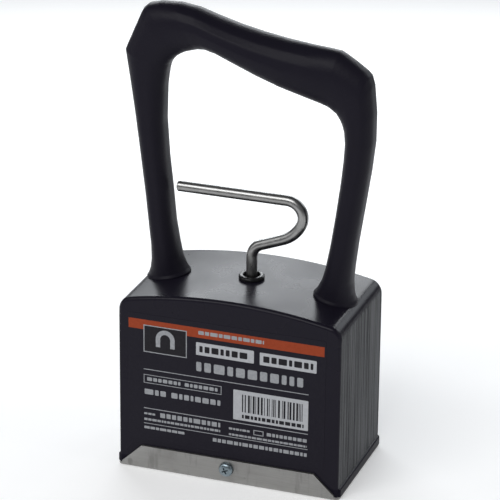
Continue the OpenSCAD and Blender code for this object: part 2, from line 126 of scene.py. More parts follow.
def make_camera():
    """A long lens, in front of the object, to its right and above it."""
    azimuth = math.radians(19.545)
    elevation = math.radians(22.388)
    roll = math.radians(0.53)
    distance = 1.0368
    middle = Vector((0, 0, 61.2 * MM))
    off_right, off_up = 0.52 * MM, -18.215 * MM
    back = Vector((
        math.sin(azimuth) * math.cos(elevation),
        -math.cos(azimuth) * math.cos(elevation),
        math.sin(elevation),
    ))
    level_right = Vector((math.cos(azimuth), math.sin(azimuth), 0))
    level_up = back.cross(level_right)
    right = level_right * math.cos(roll) + level_up * math.sin(roll)
    up = level_up * math.cos(roll) - level_right * math.sin(roll)
    place = middle - off_right * right - off_up * up + distance * back
    data = bpy.data.cameras.new("camera")
    data.sensor_width = 36
    data.lens = 207.85
    data.clip_start = 0.05
    camera = bpy.data.objects.new("camera", data)
    camera.matrix_world = Matrix.Translation(place) @ Matrix((right, up, back)).transposed().to_4x4()
    bpy.context.collection.objects.link(camera)
    bpy.context.scene.camera = camera


def make_softbox(name, location, size, power, colour=(1, 1, 1)):
    """A rectangular soft light, turned towards the object, that the camera doesn't see."""
    data = bpy.data.lights.new(name, "AREA")
    data.shape = "RECTANGLE"
    data.size, data.size_y = size
    data.energy = power
    data.color = colour
    light = bpy.data.objects.new(name, data)
    light.matrix_world = aim(location, LIGHTS_AIM)
    light.visible_camera = False
    bpy.context.collection.objects.link(light)


def make_studio():
    """Two lights behind, one in front, one at each side, a dim sky and a pale floor."""
    make_softbox("light_behind", (-0.18, 0.47, 0.30), (0.60, 0.16), 2.1, (0.93, 0.965, 1))
    make_softbox("light_behind_right", (0.22, 0.46, 0.27), (0.19, 0.22), 0.36, (0.9, 0.95, 1))
    make_softbox("light_front", (-0.2, -0.75, 0.80), (0.9, 0.45), 6.2)
    make_softbox("light_left", (-1.0, -0.45, 0.55), (0.4, 0.8), 1.6)
    make_softbox("light_right", (1.0, 0.1, 0.5), (0.6, 0.9), 2)
    world = bpy.data.worlds.new("studio")
    world.use_nodes = True
    world.node_tree.nodes["Background"].inputs["Color"].default_value = (0.96, 0.98, 1, 1)
    world.node_tree.nodes["Background"].inputs["Strength"].default_value = 0.14
    bpy.context.scene.world = world
    bpy.context.scene.view_settings.view_transform = "Standard"
    bpy.ops.mesh.primitive_plane_add(size=12)
    floor = bpy.context.active_object
    floor.name = "floor"
    floor.data.materials.append(floor_paper())


# ---------------------------------------------------------------- finishes

class Finish:
    """A material under construction: a Principled shader fed by patterns on Object coordinates."""

    def __init__(self, name, **sockets):
        self.material = bpy.data.materials.new(name)
        self.material.use_nodes = True
        self.nodes = self.material.node_tree.nodes
        self.links = self.material.node_tree.links
        self.shader = self.nodes["Principled BSDF"]
        for socket, value in sockets.items():
            self.shader.inputs[socket.replace("_", " ")].default_value = value
        self.coords = self.nodes.new("ShaderNodeTexCoord")
        self.height = None

    def stretched(self, scale):
        """Object coordinates times a scale, one for all axes or one for each."""
        mapping = self.nodes.new("ShaderNodeMapping")
        mapping.inputs["Scale"].default_value = scale if isinstance(scale, tuple) else (scale,) * 3
        self.links.new(self.coords.outputs["Object"], mapping.inputs["Vector"])
        return mapping.outputs["Vector"]

    def noise(self, scale, detail=2.0, roughness=0.5, distortion=0.0):
        """Cloudy pattern, with the number of features in a metre as its scale."""
        node = self.nodes.new("ShaderNodeTexNoise")
        node.inputs["Scale"].default_value = 1.0
        node.inputs["Detail"].default_value = detail
        node.inputs["Roughness"].default_value = roughness
        node.inputs["Distortion"].default_value = distortion
        self.links.new(self.stretched(scale), node.inputs["Vector"])
        return node.outputs["Fac"]

    def spread(self, value, low, high, out_low=0.0, out_high=1.0):
        """Maps a pattern from one range to another, held at both ends."""
        node = self.nodes.new("ShaderNodeMapRange")
        node.inputs["From Min"].default_value = low
        node.inputs["From Max"].default_value = high
        node.inputs["To Min"].default_value = out_low
        node.inputs["To Max"].default_value = out_high
        self.links.new(value, node.inputs["Value"])
        return node.outputs["Result"]

    def maths(self, operation, first, second):
        """Result of a sum on two patterns or numbers."""
        node = self.nodes.new("ShaderNodeMath")
        node.operation = operation
        for socket, value in zip(node.inputs, (first, second)):
            if isinstance(value, (int, float)):
                socket.default_value = value
            else:
                self.links.new(value, socket)
        return node.outputs["Value"]

    def blend(self, amount, first, second):
        """Colour that goes from the first to the second as the amount rises."""
        node = self.nodes.new("ShaderNodeMix")
        node.data_type = "RGBA"
        self.links.new(amount, node.inputs["Factor"])
        for socket, value in ((node.inputs["A"], first), (node.inputs["B"], second)):
            if isinstance(value, tuple):
                socket.default_value = (*value, 1)
            else:
                self.links.new(value, socket)
        return node.outputs["Result"]

    def facing(self, axis):
        """How squarely the surface faces along an axis, either way, from 0 to 1."""
        split = self.nodes.new("ShaderNodeSeparateXYZ")
        self.links.new(self.coords.outputs["Normal"], split.inputs["Vector"])
        return self.maths("ABSOLUTE", split.outputs[axis], 0.0)

    def place(self, axis):
        """The place along one axis, in metres."""
        split = self.nodes.new("ShaderNodeSeparateXYZ")
        self.links.new(self.coords.outputs["Object"], split.inputs["Vector"])
        return split.outputs[axis]

    def colour(self, value):
        self.links.new(value, self.shader.inputs["Base Color"])

    def roughness(self, value):
        self.links.new(value, self.shader.inputs["Roughness"])

    def specular(self, value):
        self.links.new(value, self.shader.inputs["Specular IOR Level"])

    def bump(self, value, depth):
        """Adds a relief of the given depth in metres to the surface."""
        node = self.nodes.new("ShaderNodeBump")
        node.inputs["Strength"].default_value = 1.0
        node.inputs["Distance"].default_value = depth
        self.links.new(value, node.inputs["Height"])
        if self.height is not None:
            self.links.new(self.height, node.inputs["Normal"])
        self.height = node.outputs["Normal"]
        self.links.new(self.height, self.shader.inputs["Normal"])


def floor_paper():
    """Pale paper, with a little light of its own so that the shadow stays soft."""
    finish = Finish(
        "floor_paper", Roughness=0.9, Specular_IOR_Level=0.1,
        Emission_Color=(1, 1, 1, 1), Emission_Strength=0.25)
    mottle = finish.noise(6, detail=3)
    finish.colour(finish.blend(mottle, (0.88, 0.885, 0.89), (0.91, 0.912, 0.915)))
    return finish.material


def moulded_black():
    """Satin black box moulding, with upright draw marks on its two end walls, whose light grey is partly a
    painted reflection.
    """
    finish = Finish("moulded_black", IOR=1.22)
    grain = finish.noise(1500, detail=2)
    cloud = finish.noise(45, detail=3)
    streak = finish.noise((900, 1150, 11), detail=6, roughness=0.8)
    fine_streak = finish.noise((2400, 2300, 40), detail=3, roughness=0.6)
    on_end = finish.spread(finish.facing("X"), 0.93, 0.985)
    above_foot = finish.spread(finish.place("Z"), 4.1 * MM, 4.4 * MM)
    below_roof = finish.spread(finish.place("Z"), 63.6 * MM, 65 * MM, 1, 0)
    wear_and_sheen = finish.maths("MULTIPLY", on_end, finish.maths("MULTIPLY", above_foot, below_roof))
    plain = finish.blend(cloud, (0.0085, 0.0073, 0.0135), (0.0110, 0.0096, 0.0165))
    # On the end walls the draw marks are real, but their light grey is partly a painted reflection of the
    # floor
    marks_and_sheen = finish.spread(streak, 0.4, 0.6)
    scuffs_and_sheen = finish.blend(marks_and_sheen, (0.012, 0.0125, 0.015), (0.145, 0.148, 0.155))
    finish.colour(finish.blend(wear_and_sheen, plain, scuffs_and_sheen))
    smooth = finish.spread(cloud, 0.3, 0.7, 0.24, 0.32)
    rough = finish.spread(streak, 0.3, 0.7, 0.6, 0.8)
    on_worn = finish.maths("MULTIPLY", rough, wear_and_sheen)
    on_plain = finish.maths("MULTIPLY", smooth, finish.maths("SUBTRACT", 1.0, wear_and_sheen))
    finish.roughness(finish.maths("ADD", on_worn, on_plain))
    # The bead along the foot is duller than the rest
    finish.specular(finish.spread(finish.place("Z"), 3.9 * MM, 4.2 * MM, 0.12, 0.5))
    finish.bump(grain, 0.006 * MM)
    finish.bump(finish.maths("MULTIPLY", streak, wear_and_sheen), 0.2 * MM)
    finish.bump(finish.maths("MULTIPLY", fine_streak, wear_and_sheen), 0.03 * MM)
    return finish.material


def handle_black():
    """Semi-gloss black handle moulding with a fine spark texture."""
    finish = Finish("handle_black", IOR=1.2)
    spark = finish.noise(1350, detail=2, roughness=0.6)
    cloud = finish.noise(60, detail=3)
    finish.colour(finish.blend(cloud, (0.0080, 0.0070, 0.0130), (0.0105, 0.0093, 0.0160)))
    finish.roughness(finish.spread(cloud, 0.3, 0.7, 0.4, 0.48))
    finish.bump(spark, 0.075 * MM)
    return finish.material


def polished_black():
    """Glossy black moulding of the bush, lightly scuffed."""
    finish = Finish("polished_black", IOR=1.3)
    scuff = finish.noise(700, detail=4)
    finish.colour(finish.blend(scuff, (0.006, 0.006, 0.007), (0.014, 0.014, 0.016)))
    finish.roughness(finish.spread(scuff, 0.35, 0.7, 0.2, 0.32))
    finish.bump(scuff, 0.004 * MM)
    return finish.material


def brushed_stainless():
    """Fine-brushed stainless sheet with faint smudges and upright handling marks."""
    finish = Finish("brushed_stainless", Metallic=1.0)
    brush = finish.noise((60, 2200, 3000), detail=4, roughness=0.65)
    upright = finish.noise((330, 60, 70), detail=3)
    smudge = finish.noise((70, 70, 110), detail=4, roughness=0.6, distortion=0.4)
    spot = finish.noise(230, detail=2)
    base = finish.blend(finish.spread(brush, 0.3, 0.7), (0.302, 0.299, 0.291), (0.342, 0.338, 0.329))
    marked = finish.blend(finish.spread(upright, 0.58, 0.7, 0, 0.6), base, (0.2, 0.196, 0.19))
    dulled = finish.blend(finish.spread(smudge, 0.5, 0.72, 0, 0.4), marked, (0.235, 0.23, 0.222))
    finish.colour(finish.blend(finish.spread(spot, 0.7, 0.78, 0, 0.6), dulled, (0.17, 0.165, 0.16)))
    finish.roughness(finish.spread(smudge, 0.3, 0.7, 0.4, 0.52))
    finish.bump(brush, 0.006 * MM)
    return finish.material


def drawn_steel():
    """Bright drawn rod with faint die lines."""
    finish = Finish("drawn_steel", Metallic=1.0)
    die_line = finish.noise((500, 3200, 500), detail=3, roughness=0.6)
    tarnish = finish.noise(120, detail=4)
    bright = finish.blend(finish.spread(die_line, 0.3, 0.7), (0.27, 0.27, 0.268), (0.37, 0.37, 0.365))
    finish.colour(finish.blend(finish.spread(tarnish, 0.5, 0.8, 0, 0.5), bright, (0.28, 0.275, 0.265)))
    finish.roughness(finish.spread(die_line, 0.3, 0.7, 0.26, 0.36))
    finish.bump(die_line, 0.004 * MM)
    return finish.material


def zinc_plated():
    """Blue-white zinc plate."""
    finish = Finish("zinc_plated", Metallic=1.0)
    bloom = finish.noise(420, detail=4, roughness=0.6)
    finish.colour(finish.blend(finish.spread(bloom, 0.3, 0.7), (0.16, 0.215, 0.25), (0.30, 0.345, 0.37)))
    finish.roughness(finish.spread(bloom, 0.3, 0.7, 0.22, 0.38))
    finish.bump(bloom, 0.006 * MM)
    return finish.material


def rolled_steel():
    """Cold-rolled plate with a thin film of oil."""
    finish = Finish("rolled_steel", Metallic=1.0)
    rolling = finish.noise((70, 1500, 1500), detail=4, roughness=0.6)
    stain = finish.noise(90, detail=4)
    clean = finish.blend(finish.spread(rolling, 0.3, 0.7), (0.33, 0.335, 0.345), (0.44, 0.445, 0.45))
    finish.colour(finish.blend(finish.spread(stain, 0.55, 0.75, 0, 0.5), clean, (0.26, 0.25, 0.235)))
    finish.roughness(finish.spread(stain, 0.3, 0.7, 0.3, 0.45))
    finish.bump(rolling, 0.006 * MM)
    return finish.material


def fired_ferrite():
    """Matt dark grey ceramic with ground faces."""
    finish = Finish("fired_ferrite")
    pore = finish.noise(1700, detail=3, roughness=0.7)
    grind = finish.noise((140, 2400, 140), detail=3)
    pores = finish.spread(pore, 0.35, 0.7)
    finish.colour(finish.blend(pores, (0.028, 0.028, 0.03), (0.055, 0.054, 0.053)))
    finish.roughness(finish.spread(grind, 0.3, 0.7, 0.5, 0.68))
    finish.bump(pore, 0.02 * MM)
    return finish.material


def spring_wire():
    """Bright spring wire."""
    finish = Finish("spring_wire", Metallic=1.0)
    scale = finish.noise(900, detail=3)
    finish.colour(finish.blend(finish.spread(scale, 0.3, 0.7), (0.36, 0.36, 0.355), (0.5, 0.495, 0.48)))
    finish.roughness(finish.spread(scale, 0.3, 0.7, 0.25, 0.38))
    finish.bump(scale, 0.004 * MM)
    return finish.material


def printed(name, first, second, roughness):
    """A printed ink or film, with the faint mottle of print."""
    finish = Finish(name, IOR=1.22)
    mottle = finish.noise(1300, detail=3)
    finish.colour(finish.blend(finish.spread(mottle, 0.3, 0.7), first, second))
    finish.roughness(finish.spread(mottle, 0.3, 0.7, roughness, roughness + 0.08))
    finish.bump(mottle, 0.002 * MM)
    return finish.material


# ---------------------------------------------------------------- modelling helpers

def begin(piece):
    """Makes one object the only selected and active one."""
    bpy.ops.object.select_all(action="DESELECT")
    piece.select_set(True)
    bpy.context.view_layer.objects.active = piece


def added(name):
    """Names the primitive that was just added, and puts its place into its mesh."""
    piece = bpy.context.active_object
    piece.name = name
    piece.data.name = name
    bpy.ops.object.transform_apply(location=True, rotation=True, scale=True)
    return piece


def add_block(name, low, high):
    """Block between two corners."""
    bpy.ops.object.select_all(action="DESELECT")
    low, high = Vector(low), Vector(high)
    bpy.ops.mesh.primitive_cube_add(size=1, location=(low + high) / 2)
    bpy.context.active_object.scale = high - low
    return added(name)


def add_rod(name, radius, low, high, rotation=(0, 0, 0)):
    """Cylinder along Z between two points, or along another axis when it is given its rotation."""
    bpy.ops.object.select_all(action="DESELECT")
    low, high = Vector(low), Vector(high)
    bpy.ops.mesh.primitive_cylinder_add(
        vertices=48, radius=radius, depth=(high - low).length, location=(low + high) / 2, rotation=rotation)
    return added(name)


def span(side, first, second):
    """Two distances from the middle as places on one side of it, the lower place first."""
    return sorted((side * first, side * second))


def flap_bore(radius, side, first, second):
    """Tool for a flap screw's hole, between two distances from the middle."""
    low_y, high_y = span(side, first, second)
    return add_rod("bore", radius, (0, low_y, SCREW_Z), (0, high_y, SCREW_Z), rotation=(math.pi / 2, 0, 0))


def edit(piece):
    """Enters edit mode on one piece, which done() leaves."""
    begin(piece)
    bpy.ops.object.mode_set(mode="EDIT")


def done():
    bpy.ops.object.mode_set(mode="OBJECT")


def pick(piece, kind, test):
    """In edit mode, selects only the vertices, edges or faces that pass a test.

    The test takes the place of the middle, and the normal or, for an edge, the way it runs.
    """
    bpy.ops.mesh.select_mode(type=kind)
    bpy.ops.mesh.select_all(action="DESELECT")
    mesh = bmesh.from_edit_mesh(piece.data)
    mesh.normal_update()
    if kind == "VERT":
        for vert in mesh.verts:
            vert.select_set(test(vert.co, vert.normal))
    if kind == "EDGE":
        for edge in mesh.edges:
            middle = (edge.verts[0].co + edge.verts[1].co) / 2
            edge.select_set(test(middle, (edge.verts[1].co - edge.verts[0].co).normalized()))
    if kind == "FACE":
        for face in mesh.faces:
            face.select_set(test(face.calc_center_median(), face.normal))
    mesh.select_flush_mode()
    bmesh.update_edit_mesh(piece.data)


def move(offset):
    bpy.ops.transform.translate(value=offset)


def extrude(offset):
    bpy.ops.mesh.extrude_region_move(TRANSFORM_OT_translate={"value": offset})


def near(first, second):
    """Whether two places are the same but for rounding."""
    return abs(first - second) < 0.02 * MM


def modify(piece, kind, **settings):
    """Adds a modifier and applies it."""
    begin(piece)
    modifier = piece.modifiers.new(kind.lower(), kind)
    for setting, value in settings.items():
        setattr(modifier, setting, value)
    bpy.ops.object.modifier_apply(modifier=modifier.name)


def round_edges(piece, width, degrees):
    """Rounds the edges sharper than an angle."""
    modify(piece, "BEVEL", width=width, segments=2, limit_method="ANGLE", angle_limit=math.radians(degrees))


def cut(piece, tool, operation="DIFFERENCE"):
    """Cuts a tool away from a piece, or joins it on, and removes the tool."""
    modify(piece, "BOOLEAN", operation=operation, object=tool, solver="EXACT")
    bpy.data.objects.remove(tool, do_unlink=True)


def smooth(piece, degrees):
    """Smooth shading, but for edges sharper than an angle."""
    begin(piece)
    bpy.ops.object.shade_smooth_by_angle(angle=math.radians(degrees))


def level_shading(piece, degrees):
    """Smooth shading in which the large flat faces stay flat."""
    smooth(piece, degrees)
    modify(piece, "WEIGHTED_NORMAL", keep_sharp=True, weight=90)


def join(pieces, name):
    """Makes one piece out of several."""
    bpy.ops.object.select_all(action="DESELECT")
    for piece in pieces:
        piece.select_set(True)
    bpy.context.view_layer.objects.active = pieces[0]
    bpy.ops.object.join()
    pieces[0].name = name
    pieces[0].data.name = name
    return pieces[0]


def resize(x, y, z, middle):
    """Scales what is selected along the three axes about a point."""
    bpy.ops.transform.resize(value=(x, y, z), center_override=middle)


def turn(angle, axis, middle):
    """Turns what is selected right-handed about an axis. The operator's own sense is left-handed."""
    bpy.ops.transform.rotate(value=-angle, orient_axis=axis, center_override=middle)


def sweep(angle, middle, axis, steps):
    """Spins what is selected right-handed about an axis. The operator's own sense is left-handed."""
    bpy.ops.mesh.spin(steps=steps, angle=-angle, center=middle, axis=axis)


def whole(piece):
    """Enters edit mode with everything selected."""
    edit(piece)
    bpy.ops.mesh.select_mode(type="VERT")
    bpy.ops.mesh.select_all(action="SELECT")


def slice_off(point, normal):
    """Cuts everything along a plane and clears what lies on the normal's side of it."""
    bpy.ops.mesh.select_all(action="SELECT")
    bpy.ops.mesh.bisect(plane_co=point, plane_no=normal, clear_outer=True)


def close_up(piece):
    """Merges doubled points and turns every face outwards."""
    whole(piece)
    bpy.ops.mesh.remove_doubles(threshold=0.001 * MM)
    bpy.ops.mesh.normals_make_consistent(inside=False)
    done()


def turned(name, profile, sides=48, hollow=False):
    """Turned piece about Z, drawn up ring by ring from (radius, height) in millimetres."""
    bpy.ops.object.select_all(action="DESELECT")
    radius, height = profile[0]
    bpy.ops.mesh.primitive_circle_add(
        vertices=sides, radius=radius * MM, location=(0, 0, height * MM),
        fill_type="NOTHING" if hollow else "NGON")
    piece = added(name)
    whole(piece)
    for next_radius, next_height in profile[1:]:
        extrude((0, 0, (next_height - height) * MM))
        ratio = next_radius / radius
        resize(ratio, ratio, 1, (0, 0, next_height * MM))
        radius, height = next_radius, next_height
    done()
    close_up(piece)
    return piece


def dress(piece, finish, slot, body, *stands_for):
    """Gives a finished piece its material and body, and hides the CAD nodes it stands for. The slot is not
    used.
    """
    piece.data.materials.clear()
    piece.data.materials.append(finish)
    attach(piece, body)
    if stands_for:
        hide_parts(*stands_for)


# ---------------------------------------------------------------- pieces

def arch(x):
    """Height of the roof's arc above its ends, at a distance from the middle."""
    return math.sqrt(ROOF_RADIUS**2 - x**2) - (ROOF_RADIUS - ROOF_RISE)


def make_housing(finish):
    """Box with an arched roof, hollow from below, with its bosses, pads and ribs."""
    box = add_block("housing_shell", (-HALF_W, -HALF_D, PLATE_T), (HALF_W, HALF_D, ROOF_SIDE))
    edit(box)
    # Hollow it, then round the roof's ends and bow the roof and the ceiling column by column
    pick(box, "FACE", lambda at, way: way.z < -0.99)
    bpy.ops.mesh.inset(thickness=WALL)
    extrude((0, 0, CEILING - PLATE_T))
    pick(box, "EDGE", lambda at, way: near(at.z, ROOF_SIDE) and near(abs(at.x), HALF_W))
    bpy.ops.mesh.bevel(offset=ROOF_END_R, segments=12, affect="EDGES")
    for level in (ROOF_SIDE, CEILING):
        pick(box, "EDGE", lambda at, way: near(at.z, level) and near(at.x, 0) and abs(way.x) > 0.99)
        bpy.ops.mesh.subdivide(number_cuts=ROOF_CUTS)
    roof_foot = ROOF_SIDE - ROOF_END_R
    bowed_above = roof_foot + 0.1 * MM
    bowed = [vert.co for vert in bmesh.from_edit_mesh(box.data).verts if vert.co.z > bowed_above]
    for column in sorted({round(at.x, 6) for at in bowed}):
        pick(box, "VERT", lambda at, way: near(at.x, column) and at.z > bowed_above)
        move((0, 0, arch(column)))
    # The upright corners are sharper than the roof's front and back edges
    pick(box, "EDGE", lambda at, way: near(abs(at.y), HALF_D) and at.z > PLATE_T + 1 * MM)
    bpy.ops.transform.edge_bevelweight(value=1.0)
    pick(box, "EDGE", lambda at, way: near(abs(at.y), HALF_D) and abs(way.z) > 0.99 and at.z < roof_foot)
    bpy.ops.transform.edge_bevelweight(value=-CORNER_EASE)
    done()
    modify(box, "BEVEL", width=ROOF_EDGE_R, segments=6, limit_method="WEIGHT", use_clamp_overlap=False)
    inner = HALF_D - WALL
    for side in (-1, 1):
        cut(box, end_lip(side), "UNION")
        pad = add_rod("pad", PAD_R, (side * FOOT_X, 0, PAD_Z), (side * FOOT_X, 0, PAD_Z + PAD_T))
        cut(box, pad, "UNION")
        low_y, high_y = span(side, inner - SCREW_BOSS_DEPTH, inner + OVERLAP)
        boss = add_block(
            "boss", (-SCREW_BOSS_HALF_W, low_y, PLATE_T), (SCREW_BOSS_HALF_W, high_y, SCREW_BOSS_TOP))
        cut(box, boss, "UNION")
        low_y, high_y = span(side, inner - RIB_DEPTH, inner + OVERLAP)
        for x in RIB_PLACES:
            rib = add_block("rib", (x - RIB_HALF_T, low_y, PLATE_T), (x + RIB_HALF_T, high_y, RIB_TOP))
            cut(box, rib, "UNION")
    boss_foot = SPRING_HIGH.z
    cut(box, add_rod("boss", ROD_BOSS_R, (0, 0, boss_foot), (0, 0, ROOF_TOP - 2 * OVERLAP)), "UNION")
    cut(box, add_rod("bore", ROD_BORE_R, (0, 0, boss_foot - OVERLAP), (0, 0, ROOF_TOP + OVERLAP)))
    for side in (-1, 1):
        bore = add_rod(
            "bore", PAD_BORE_R, (side * FOOT_X, 0, PAD_Z - OVERLAP), (side * FOOT_X, 0, ROOF_TOP))
        cut(box, bore)
        cut(box, flap_bore(HOUSING_SCREW_BORE_R, side, HALF_D - SCREW_BORE_DEPTH, HALF_D + OVERLAP))
    level_shading(box, 30)
    dress(box, finish, "black_plastic", "body", "housing")


def end_lip(side):
    """Rounded bead along the foot of one end wall."""
    low_x, high_x = span(side, HALF_W - OVERLAP, HALF_W + LIP_OUT)
    half_length = HALF_D - LIP_SHORT
    lip = add_block("lip", (low_x, -half_length, PLATE_T), (high_x, half_length, PLATE_T + LIP_H))
    edit(lip)
    outside = side * (HALF_W + LIP_OUT)
    pick(lip, "EDGE", lambda at, way: near(at.x, outside) and not near(at.z, PLATE_T))
    bpy.ops.mesh.bevel(offset=LIP_ROUND, segments=5, affect="EDGES")
    done()
    return lip


# Rings of the handle from the left foot to the right foot, in millimetres: x and z of the outer edge,
# x and z of the inner edge, half the depth, and how far the section's corners stand out
HANDLE_RINGS = (
    (-39.7, 65.6, -23.7, 68.7, 8.0, 1.0),
    (-39.7, 66.4, -23.7, 69.3, 8.0, 1.0),
    (-39.1, 67.4, -24.5, 70.1, 7.5, 1.0),
    (-38.2, 69.8, -25.6, 71.8, 7.1, 1.02),
    (-37.6, 73.5, -27.0, 74.8, 6.8, 1.05),
    (-37.6, 79.0, -28.2, 79.8, 6.5, 1.08),
    (-38.4, 87.0, -29.6, 87.5, 6.4, 1.09),
    (-39.7, 99.0, -30.7, 99.5, 6.3, 1.09),
    (-41.3, 112.0, -32.1, 112.0, 6.3, 1.09),
    (-43.2, 127.0, -33.0, 126.0, 6.4, 1.09),
    (-45.1, 140.0, -32.6, 139.0, 6.5, 1.09),
    (-46.5, 148.9, -31.8, 144.8, 6.6, 1.09),
    (-46.9, 151.6, -31.0, 147.6, 6.7, 1.09),
    (-46.1, 153.6, -30.0, 149.1, 6.7, 1.09),
    (-43.4, 159.9, -28.2, 150.9, 6.8, 1.08),
    (-41.1, 165.3, -26.5, 152.0, 6.9, 1.07),
    (-40.2, 167.2, -25.5, 152.5, 6.9, 1.06),
    (-38.7, 168.6, -24.2, 153.0, 6.9, 1.05),
    (-34.5, 169.7, -22.2, 153.5, 6.9, 1.04),
    (-27.5, 170.0, -20.0, 154.1, 7.0, 1.03),
    (-21.0, 169.1, -17.0, 154.2, 7.5, 1.01),
    (-14.0, 166.9, -12.8, 153.2, 8.0, 1.0),
    (-6.0, 164.7, -6.4, 150.5, 8.2, 1.0),
    (3.0, 162.8, 1.5, 147.2, 8.3, 1.0),
    (12.0, 161.4, 10.5, 143.9, 8.2, 1.0),
    (21.0, 160.4, 19.5, 141.3, 7.8, 1.0),
    (28.5, 159.7, 25.6, 139.7, 7.2, 1.02),
    (31.6, 159.2, 28.0, 139.0, 7.0, 1.04),
    (33.4, 158.2, 29.3, 138.3, 6.9, 1.05),
    (37.2, 155.8, 31.2, 137.0, 6.8, 1.06),
    (41.2, 152.9, 32.7, 135.0, 6.7, 1.08),
    (42.6, 151.4, 33.5, 133.4, 6.7, 1.09),
    (43.6, 148.0, 34.2, 131.0, 6.6, 1.09),
    (44.6, 138.0, 34.6, 126.5, 6.5, 1.09),
    (44.6, 127.5, 34.2, 120.0, 6.4, 1.09),
    (43.4, 116.5, 33.4, 112.0, 6.3, 1.09),
    (41.2, 101.5, 31.8, 99.5, 6.3, 1.09),
    (39.3, 89.0, 30.1, 88.0, 6.4, 1.09),
    (38.2, 79.5, 28.5, 79.5, 6.6, 1.08),
    (37.9, 74.0, 27.2, 75.0, 6.9, 1.05),
    (38.4, 69.8, 25.6, 71.8, 7.2, 1.02),
    (39.1, 67.4, 24.5, 70.1, 7.5, 1.0),
    (39.7, 66.4, 23.7, 69.3, 8.0, 1.0),
    (39.7, 65.6, 23.7, 68.7, 8.0, 1.0),
)
# How far the handle's cage stands outside the smooth shape that it gives
CAGE_SWELL = 1.018
# The rings between which the grip's soft ridge runs
RIDGE_START, RIDGE_END = 19, 25
HANDLE_BORE_R = 2.25 * MM
HANDLE_BORE_TOP = 76.6 * MM


def ring_measures(ring):
    """Middle, slope, half width and half depth of a ring. A level ring on the left leg has slope 0."""
    outer = Vector((ring[0], 0, ring[1])) * MM
    inner = Vector((ring[2], 0, ring[3])) * MM
    reach = (outer - inner) / 2
    slope = (math.atan2(reach.z, -reach.x) + math.pi / 2) % math.tau - math.pi / 2
    return (outer + inner) / 2, slope, reach.length * CAGE_SWELL, ring[4] * MM * CAGE_SWELL


def stand_out(piece, middle, factor):
    """Of the level ring that is selected, resizes only the corners off its two axes."""
    mesh = bmesh.from_edit_mesh(piece.data)
    mesh.verts.ensure_lookup_table()
    ring = [vert.index for vert in mesh.verts if vert.select]
    off_axes = []
    for i in ring:
        at = mesh.verts[i].co
        if min(abs(at.x - middle.x), abs(at.y)) > 1 * MM:
            off_axes.append(i)
    select_points(piece, off_axes)
    resize(factor, factor, 1, middle)
    select_points(piece, ring)


def select_points(piece, chosen):
    """Selects only the vertices with the chosen numbers."""
    bpy.ops.mesh.select_all(action="DESELECT")
    mesh = bmesh.from_edit_mesh(piece.data)
    mesh.verts.ensure_lookup_table()
    for i in chosen:
        mesh.verts[i].select_set(True)
    mesh.select_flush_mode()
    bmesh.update_edit_mesh(piece.data)


def make_handle(finish):
    """Loop handle: a ring drawn up one leg, over the grip and down the other leg, then smoothed."""
    middle, slope, width, depth = ring_measures(HANDLE_RINGS[0])
    corners = HANDLE_RINGS[0][5]
    bpy.ops.object.select_all(action="DESELECT")
    bpy.ops.mesh.primitive_circle_add(vertices=16, radius=1, location=middle, fill_type="NGON")
    loop = added("handle_loop")
    whole(loop)
    resize(width, depth, 1, middle)
    turn(slope, "Y", middle)
    bpy.ops.transform.edge_crease(value=1.0)
    bpy.ops.mesh.select_mode(type="VERT")
    for ring in HANDLE_RINGS[1:]:
        next_middle, next_slope, next_width, next_depth = ring_measures(ring)
        extrude(next_middle - middle)
        turn(-slope, "Y", next_middle)
        resize(next_width / width, next_depth / depth, 1, next_middle)
        if ring[5] != corners:
            stand_out(loop, next_middle, ring[5] / corners)
        turn(next_slope, "Y", next_middle)
        middle, slope, width, depth, corners = next_middle, next_slope, next_width, next_depth, ring[5]
    bpy.ops.transform.edge_crease(value=1.0)
    # A soft ridge runs along the grip's front and back, under its rounded top
    start, end = HANDLE_RINGS[RIDGE_START][0] * MM, HANDLE_RINGS[RIDGE_END][0] * MM
    pick(loop, "EDGE", lambda at, way: start < at.x < end and is_ridge(at, way))
    bpy.ops.transform.edge_crease(value=0.45)
    done()
    close_up(loop)
    modify(loop, "SUBSURF", levels=3, render_levels=3)
    for side in (-1, 1):
        bore = add_rod(
            "bore", HANDLE_BORE_R, (side * FOOT_X, 0, PAD_Z - OVERLAP), (side * FOOT_X, 0, HANDLE_BORE_TOP))
        cut(loop, bore)
    smooth(loop, 40)
    dress(loop, finish, "handle_plastic", "body", "handle")


def is_ridge(at, way):
    """Whether an edge runs along the grip, a little above the middle of its front or back."""
    return abs(way.x) > 0.9 and abs(at.y) > 5 * MM and at.z > 155 * MM - 0.2 * at.x


# Release lever, in millimetres and degrees
SHAFT_TOP = 78.5
LOW_BEND_R = 5.3
ARM_ANGLE = 21
ARM_LEN = 8.8
WIDE_BEND_R = 12.5
WIDE_BEND_END = 65
U_BEND_R = 6.1
FINGER_LEN = 41.1
ROD_CHAMFER = 0.4
BEND_STEPS = 16
RETURN_STEPS = 24


